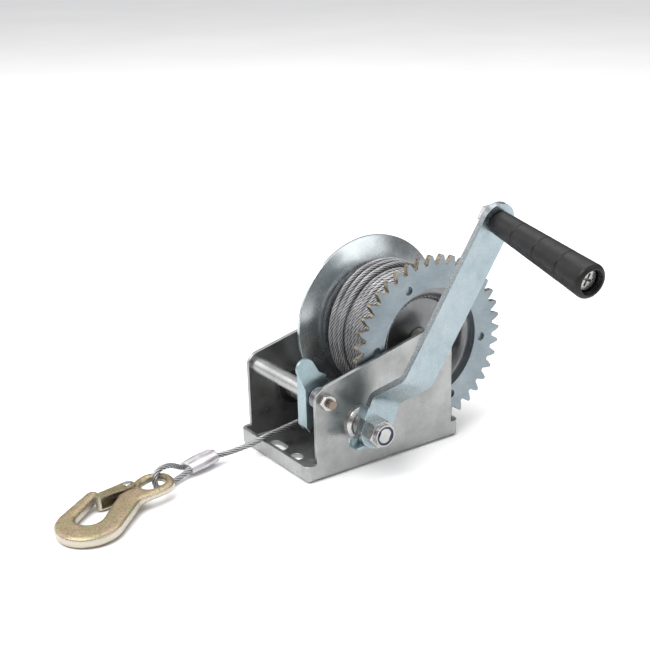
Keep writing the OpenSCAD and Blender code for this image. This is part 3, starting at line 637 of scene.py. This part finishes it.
ROUTE = [
    mm(-20, 41, 23.2),
    mm(-18, 10, 20.6),
    mm(-15.5, -26, 17.5),
    mm(-13, -56, 14.9),
    mm(-12.4, -64, 14.2),
    mm(-13, -67, 13.2),
    mm(-15.4, -74, 10.4),
    mm(-17.6, -80, 8.6),
    mm(-19.4, -86, 7.3),
    mm(-20.8, -91, 6.6),
    mm(-21.6, -96.2, 6.2),
    mm(-20.3, -102, 5.9),
    mm(-18.9, -107.9, 5.6),
    mm(-17.5, -114, 5.3),
    mm(-16.2, -119.6, 4.9),
    mm(-14.6, -125, 4),
    mm(-12.8, -131, 3),
    mm(-11, -137, 2.3),
    mm(-9.4, -142, 2.1),
    mm(-8.2, -146, 2.8),
    mm(-7.4, -148.8, 5.2),
    mm(-7.6, -149.6, 9),
    mm(-8.8, -148.3, 12.8),
    mm(-10.6, -144.6, 14.8),
    mm(-12.6, -139.8, 14.8),
    mm(-15, -134, 13),
    mm(-18, -128.4, 9.4),
    mm(-21.1, -124, 6.2),
    mm(-22.8, -121, 4.9),
    mm(-25.5, -109.4, 5.6),
    mm(-28.6, -95.4, 6.3),
]
run_line = smooth_line(ROUTE, RUN_STEP)
rope = wire_rope("rope_free", run_line, per_strand=8)
dress(rope, MATERIALS["rope_steel"])
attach(rope, "frame_body")
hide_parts("rope_run")

# the rope on the drum: three hidden layers, a loose outer one and three turns that ride over
# it, about twelve metres in all. Radii are those of the rope's centreline, in millimetres.
DRUM = (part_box("drum_gear")[0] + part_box("drum_gear")[1]) / 2
WIND_FROM = -21.6
WIND_TO = 28.9
HIDDEN_RADII = (32.0, 35.6, 39.2)
HIDDEN_TURNS = 12
HIDDEN_LOOSE = 0.1
HIDDEN_SEED = 3
HIDDEN_STEP_DEG = 6
OUTER_RADIUS = 42.8
OUTER_TURNS = 11.5
OUTER_LOOSE = 0.75
OUTER_SEED = 11
OUTER_STEP_DEG = 2
OVER_RADIUS = 45.2
OVER_SWELL = 0.9
OVER_TURNS = 3
OVER_FROM = -21
OVER_LEAD = 6


def on_drum(x, r, angle):
    """A point on the drum: x along its axis and r out from it, in millimetres."""
    return Vector((x * MM, DRUM.y + r * MM * math.sin(angle), DRUM.z - r * MM * math.cos(angle)))


def drum_layer(radius, turns, loose, seed, step_deg):
    """One layer of turns from one flange to the other, swaying less near the flanges."""
    rng = random.Random(seed)
    waves = [
        (rng.uniform(0, 2 * math.pi), rng.choice((1, 2, 3)), rng.uniform(0.3, 1))
        for _ in range(5)
    ]
    line = []
    steps = round(turns * 360 / step_deg)
    for i in range(steps + 1):
        t = i / steps
        a = 2 * math.pi * turns * t
        lead = WIND_FROM + (WIND_TO - WIND_FROM) * t
        sway = sum(w * math.sin(k * a * 0.5 + p + 0.35 * a) for p, k, w in waves)
        room = min(1.0, 8 * t, 8 * (1 - t))
        line.append(on_drum(lead + loose * sway * room, radius + 0.25 * loose * sway, a))
    return line


def hidden_layers():
    """The line of the layers under the outer one, wound back and forth."""
    line = []
    for n, radius in enumerate(HIDDEN_RADII):
        layer = drum_layer(radius, HIDDEN_TURNS, HIDDEN_LOOSE, HIDDEN_SEED + n, HIDDEN_STEP_DEG)
        line += layer if n % 2 == 0 else layer[::-1]
    return line


def over_turn(lap):
    """One turn that has ridden up over the outer layer."""
    x0 = OVER_FROM + OVER_LEAD * lap
    a0, a1 = 2 * math.pi * lap, 2 * math.pi * (lap + 1)
    line = []
    steps = round(math.degrees(a1 - a0) / OUTER_STEP_DEG)
    for i in range(steps + 1):
        t = i / steps
        a = a0 + (a1 - a0) * t
        ease = t * t * (3 - 2 * t)
        r = OVER_RADIUS + OVER_SWELL * math.sin(math.pi * t)
        wobble = 0.5 * math.sin(3.1 * a + lap)
        line.append(on_drum(x0 + OVER_LEAD * ease + wobble, r, a))
    return line


outer_line = drum_layer(OUTER_RADIUS, OUTER_TURNS, OUTER_LOOSE, OUTER_SEED, OUTER_STEP_DEG)
over_line = [point for lap in range(OVER_TURNS) for point in over_turn(lap)]
inner = wire_rope("rope_layers", hidden_layers(), per_strand=2)
outer = wire_rope("rope_turns", even_line(outer_line, TURN_STEP), per_strand=6)
over = wire_rope("rope_over", even_line(over_line, TURN_STEP), per_strand=6)

for part in (inner, outer, over):
    dress(part, MATERIALS["rope_steel"])
    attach(part, "drum")
    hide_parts("rope_winding")

# ---------------------------------------------------------------- cut rope end

FRAY_WIRES = 14
FRAY_LEN = 3.2
FRAY_WIRE_R = 0.24 * MM
FRAY_RINGS = 6
FRAY_SIDES = 6


def make_fray():
    """The short wires that spread from the cut end of the rope, past the ferrule."""
    rng = random.Random(5)
    end = ROUTE[-1]
    ahead = (ROUTE[-1] - ROUTE[-2]).normalized()
    side = ahead.orthogonal().normalized()
    up = ahead.cross(side)
    bm = bmesh.new()
    for k in range(FRAY_WIRES):
        a = 2 * math.pi * k / FRAY_WIRES + rng.uniform(-0.3, 0.3)
        out = side * math.cos(a) + up * math.sin(a)
        r = rng.uniform(0.4, 1.5)
        reach = FRAY_LEN * rng.uniform(0.5, 1.0)
        flare = rng.uniform(0.1, 0.7)
        rings = []
        for i in range(FRAY_RINGS + 1):
            t = i / FRAY_RINGS
            p = end + (out * (r + flare * t * t * 1.6) + ahead * (reach * t - 0.6)) * MM
            ring = [
                bm.verts.new(p + (side * math.cos(b) + up * math.sin(b)) * FRAY_WIRE_R)
                for b in (math.pi * q / 3 for q in range(FRAY_SIDES))
            ]
            rings.append(ring)
        for ring, after in zip(rings, rings[1:]):
            for q in range(FRAY_SIDES):
                j = (q + 1) % FRAY_SIDES
                bm.faces.new((ring[q], ring[j], after[j], after[q])).smooth = True
        bm.faces.new(rings[0])
        bm.faces.new(rings[-1])
    return finish_mesh("rope_fray", bm)


fray = make_fray()
dress(fray, MATERIALS["cut_steel"])
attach(fray, "frame_body")

# ---------------------------------------------------------------- ferrule

FERRULE_AT = mm(-22.2, -108.6, 5.6)
FERRULE_TURN = math.radians(13)
FERRULE_PITCH = math.radians(3)
FERRULE_LEN = 24.0
BARREL_GAP = 6.7
BARREL_R = 3.7


def ferrule_frame():
    """Columns: towards the hook, sideways to the standing rope, and up."""
    sine, cosine = math.sin(FERRULE_TURN), math.cos(FERRULE_TURN)
    ahead = Vector((sine, -cosine, -math.tan(FERRULE_PITCH))).normalized()
    side = Vector((cosine, sine, 0))
    return Matrix((ahead, side, side.cross(ahead) * -1)).transposed()


def make_ferrule():
    """An oval sleeve pressed round two ropes: it swells in the middle and has a crease."""
    bm = bmesh.new()
    turn = ferrule_frame()
    around, along = 64, 40
    rings = []
    stations = [(-0.5, 0.55), (-0.5, 0.8)]
    stations += [(-0.5 + i / along, None) for i in range(along + 1)]
    stations += [(0.5, 0.8), (0.5, 0.55)]
    for s, inset in stations:
        end = min(1.0, (0.5 - abs(s)) / 0.06)
        lip = 0.90 + 0.10 * math.sqrt(max(0.0, 1 - (1 - end) ** 2))
        swell = 1 + 0.09 * math.cos(math.pi * s) ** 2
        scale = lip * swell * (inset or 1.0)
        ring = []
        for k in range(around):
            a = 2 * math.pi * k / around
            y = (BARREL_GAP / 2 + BARREL_R) * math.copysign(abs(math.cos(a)) ** 0.82, math.cos(a))
            z = BARREL_R * math.copysign(abs(math.sin(a)) ** 0.9, math.sin(a))
            waist = 1 - 0.13 * math.exp(-((y / 1.7) ** 2)) * (1 - 0.5 * math.cos(math.pi * s) ** 2)
            crease = 1 - 0.05 * math.exp(-((a - 0.35) / 0.06) ** 2)
            p = turn @ Vector((s * FERRULE_LEN, y * scale * crease, z * scale * waist * crease))
            ring.append(bm.verts.new(FERRULE_AT + p * MM))
        rings.append(ring)
    for ring, after in zip(rings, rings[1:]):
        for k in range(around):
            j = (k + 1) % around
            bm.faces.new((ring[k], ring[j], after[j], after[k])).smooth = True
    bm.faces.new(rings[0])
    bm.faces.new(rings[-1])
    return finish_mesh("ferrule_sleeve", bm)


sleeve = make_ferrule()
dress(sleeve, MATERIALS["ferrule_aluminium"])
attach(sleeve, "frame_body")
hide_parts("ferrule")

# ---------------------------------------------------------------- forged hook

FORGED_VOXEL = 0.5 * MM
FORGED_ROUND = 110
FORGED_SWELL = 0.35 * MM


def forged_copy(node, name):
    """A copy of a CAD node with the rounded edges and soft skin of a forging."""
    obj = bpy.data.objects.new(name, NODES[node].data.copy())
    bpy.context.scene.collection.objects.link(obj)
    weld = obj.modifiers.new("weld", "WELD")
    weld.merge_threshold = WELD_WITHIN
    remesh = obj.modifiers.new("remesh", "REMESH")
    remesh.mode = "VOXEL"
    remesh.voxel_size = FORGED_VOXEL
    soft = obj.modifiers.new("soft", "SMOOTH")
    soft.factor = 0.5
    soft.iterations = FORGED_ROUND
    swell = obj.modifiers.new("swell", "DISPLACE")
    swell.strength = FORGED_SWELL
    swell.mid_level = 0
    graph = bpy.context.evaluated_depsgraph_get()
    shaped = bpy.data.meshes.new_from_object(obj.evaluated_get(graph))
    obj.modifiers.clear()
    obj.data = shaped
    for p in shaped.polygons:
        p.use_smooth = True
    return obj


hook = forged_copy("hook", "hook_forging")
dress(hook, MATERIALS["hook_passivated"])
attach(hook, "hook_body")
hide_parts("hook")

# ---------------------------------------------------------------- studio

FLOOR_SIZE = 20
FLOOR_Z = -0.2 * MM
# name, place, aim, width and height, and power of each lamp
LAMPS = (
    ("key", (0.3, -1.2, 1.6), (0, 0, 0.05), (1.4, 1.0), 30),
    ("fill", (1.6, 0.9, 0.9), (0, 0, 0.08), (1.2, 1.0), 7),
    ("top", (-0.3, 0.3, 1.9), (0, 0, 0.05), (1.8, 1.8), 26),
    ("side", (-1.5, -0.8, 0.8), (0, 0, 0.05), (1.0, 1.2), 8),
)


def make_floor():
    g = Graph("floor_paper")
    tone = g.ramp(g.noise(0.004, detail=2), (0.3, 0.86), (0.7, 0.89))
    g.set(Base_Color=tone, Roughness=0.9, Specular_IOR_Level=0.1)
    bm = bmesh.new()
    bmesh.ops.create_grid(bm, x_segments=4, y_segments=4, size=FLOOR_SIZE)
    for v in bm.verts:
        v.co.z = FLOOR_Z
    floor = finish_mesh("floor", bm)
    dress(floor, g.material)


def area_light(name, at, target, size, power):
    data = bpy.data.lights.new(name, "AREA")
    data.shape = "RECTANGLE"
    data.size, data.size_y = size
    data.energy = power
    lamp = bpy.data.objects.new(name, data)
    bpy.context.scene.collection.objects.link(lamp)
    aim = (Vector(target) - Vector(at)).to_track_quat("-Z", "Y")
    lamp.matrix_world = Matrix.Translation(at) @ aim.to_matrix().to_4x4()


def make_world():
    """A pale studio: bright overhead, greyer round the walls, so metal has something to mirror."""
    world = bpy.data.worlds.new("studio")
    bpy.context.scene.world = world
    world.use_nodes = True
    tree = world.node_tree
    tree.nodes.clear()
    out = tree.nodes.new("ShaderNodeOutputWorld")
    back = tree.nodes.new("ShaderNodeBackground")
    coord = tree.nodes.new("ShaderNodeTexCoord")
    split = tree.nodes.new("ShaderNodeSeparateXYZ")
    ramp = tree.nodes.new("ShaderNodeValToRGB")
    els = ramp.color_ramp.elements
    els[0].position, els[0].color = 0.0, (0.34, 0.34, 0.345, 1)
    els[1].position, els[1].color = 1.0, (0.9, 0.9, 0.9, 1)
    for at, grey in ((0.28, 0.2), (0.42, 0.5), (0.6, 1.0)):
        step = els.new(at)
        step.color = (grey, grey, grey * 1.02, 1)
    tree.links.new(coord.outputs["Generated"], split.inputs[0])
    tree.links.new(split.outputs[2], ramp.inputs[0])
    tree.links.new(ramp.outputs[0], back.inputs[0])
    back.inputs[1].default_value = 0.9
    tree.links.new(back.outputs[0], out.inputs[0])


bpy.context.scene.view_settings.view_transform = "Standard"
make_floor()
make_world()
for lamp in LAMPS:
    area_light(*lamp)
